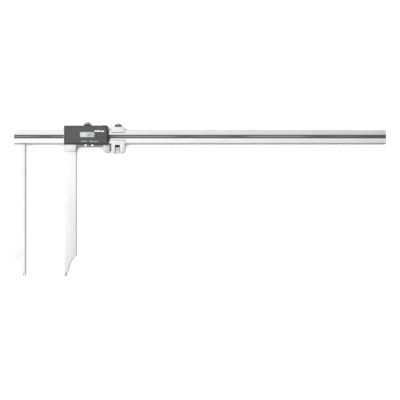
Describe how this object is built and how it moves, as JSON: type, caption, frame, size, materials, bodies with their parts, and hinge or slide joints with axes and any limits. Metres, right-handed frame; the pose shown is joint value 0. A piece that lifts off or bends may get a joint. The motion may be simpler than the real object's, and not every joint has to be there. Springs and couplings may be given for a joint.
{
  "type": "digital caliper",
  "caption": "Long-jaw digital caliper with nib tips: beam with fixed jaw, sliding jaw with display reader, lock screw and fine-feed carriage with clamp screw and knurled nut.",
  "frame": {"origin": "centre of the bounding box's base at rest, on the plane of the slider's back", "axes": "+X along the beam from the fixed jaw to its free end, +Y from the jaw tips towards the lock screw, +Z out of the display"},
  "size_m": [0.706, 0.2922, 0.0218],
  "materials": {
    "beam_steel": "ground and satin chromed, long straight grain",
    "jaw_steel": "fine ground flat, lapped measuring faces",
    "slider_steel": "satin chromed",
    "screw_steel": "plated, turned and knurled",
    "scale_tape": "dark satin cover tape with a paler middle line",
    "laminate": "glass-fibre circuit laminate",
    "grey_housing": "dark grey satin enamel on a die-cast cover",
    "dark_plastic": "moulded",
    "button_white": "smooth white",
    "window_clear": "clear window",
    "lcd_glass": "grey-green reflective display",
    "elastomer": "striped conductive rubber",
    "brass": "plain machined",
    "cell_steel": "nickel-plated cell",
    "port_rubber": "black moulded rubber"
  },
  "bodies": {
    "beam": {"beam": "beam_steel", "fixed_jaw": "jaw_steel", "scale_strip": "laminate", "scale_tape": "scale_tape", "jaw_dowel_lower": "screw_steel", "jaw_dowel_upper": "screw_steel", "jaw_screw_lower": "screw_steel", "jaw_screw_upper": "screw_steel", "end_stop_screw": "screw_steel"},
    "slider": {"slider_frame": "slider_steel", "movable_jaw": "jaw_steel", "jaw_rivet_left": "screw_steel", "jaw_rivet_right": "screw_steel", "gib": "brass", "gib_screw_left": "screw_steel", "gib_screw_right": "screw_steel", "feed_screw": "screw_steel", "feed_lock_screw": "screw_steel", "base_plate": "slider_steel", "base_screw_1": "screw_steel", "base_screw_2": "screw_steel", "base_screw_3": "screw_steel", "base_screw_4": "screw_steel", "cover_screw_left": "screw_steel", "cover_screw_right": "screw_steel", "receiver_board": "laminate", "main_board": "laminate", "board_header": "dark_plastic", "elastomer_lower": "elastomer", "elastomer_upper": "elastomer", "lcd_module": "lcd_glass", "display_window": "window_clear", "reader_cover": "grey_housing", "switch_left": "dark_plastic", "switch_right": "dark_plastic", "battery": "cell_steel", "battery_contact_lower": "brass", "battery_contact_side": "brass", "data_port": "dark_plastic"},
    "battery_lid": {"battery_lid": "grey_housing"},
    "data_port_cover": {"data_port_cover": "port_rubber"},
    "button_left": {"button_left": "button_white"},
    "button_right": {"button_right": "button_white"},
    "lock_shoe": {"lock_shoe": "brass"},
    "lock_screw": {"lock_screw": "screw_steel"},
    "carriage": {"carriage_frame": "slider_steel"},
    "clamp_shoe": {"clamp_shoe": "brass"},
    "clamp_screw": {"clamp_screw": "screw_steel"},
    "feed_nut": {"feed_nut": "screw_steel"}
  },
  "joints": [
    {"name": "slider_slide", "type": "slide", "parent": "beam", "child": "slider", "axis": [1, 0, 0], "range_m": [-0.0737, 0.4262]},
    {"name": "carriage_feed", "type": "slide", "parent": "slider", "child": "carriage", "axis": [1, 0, 0], "range_m": [-0.002, 0.01]},
    {"name": "nut_turn", "type": "hinge", "parent": "carriage", "child": "feed_nut", "pos_m": [-0.1562, 0.09295, 0.007], "axis": [1, 0, 0], "range_deg": [-1029, 5143]},
    {"name": "lock_feed", "type": "slide", "parent": "slider", "child": "lock_shoe", "axis": [0, -1, 0], "range_m": [0, 0.0004]},
    {"name": "lock_turn", "type": "hinge", "parent": "lock_shoe", "child": "lock_screw", "pos_m": [-0.214, 0.14195, 0.0073], "axis": [0, -1, 0], "range_deg": [0, 181]},
    {"name": "clamp_feed", "type": "slide", "parent": "carriage", "child": "clamp_shoe", "axis": [0, -1, 0], "range_m": [0, 0.0004]},
    {"name": "clamp_turn", "type": "hinge", "parent": "clamp_shoe", "child": "clamp_screw", "pos_m": [-0.1555, 0.13995, 0.007], "axis": [0, -1, 0], "range_deg": [0, 181]},
    {"name": "button_left_press", "type": "slide", "parent": "slider", "child": "button_left", "axis": [0, 1, 0], "range_m": [0, 0.0008], "stiffness_N_per_m": 1500, "springref_m": -0.0003},
    {"name": "button_right_press", "type": "slide", "parent": "slider", "child": "button_right", "axis": [0, 1, 0], "range_m": [0, 0.0008], "stiffness_N_per_m": 1500, "springref_m": -0.0003},
    {"name": "battery_lid_slide", "type": "slide", "parent": "slider", "child": "battery_lid", "axis": [1, 0, 0], "range_m": [0, 0.022]},
    {"name": "data_port_pull", "type": "slide", "parent": "slider", "child": "data_port_cover", "axis": [0, 1, 0], "range_m": [0, 0.012]}
  ],
  "couplings": [
    {"joint": "nut_turn", "follows": "carriage_feed", "rad_per_m": 8976},
    {"joint": "lock_turn", "follows": "lock_feed", "rad_per_m": 7854},
    {"joint": "clamp_turn", "follows": "clamp_feed", "rad_per_m": 7854}
  ]
}
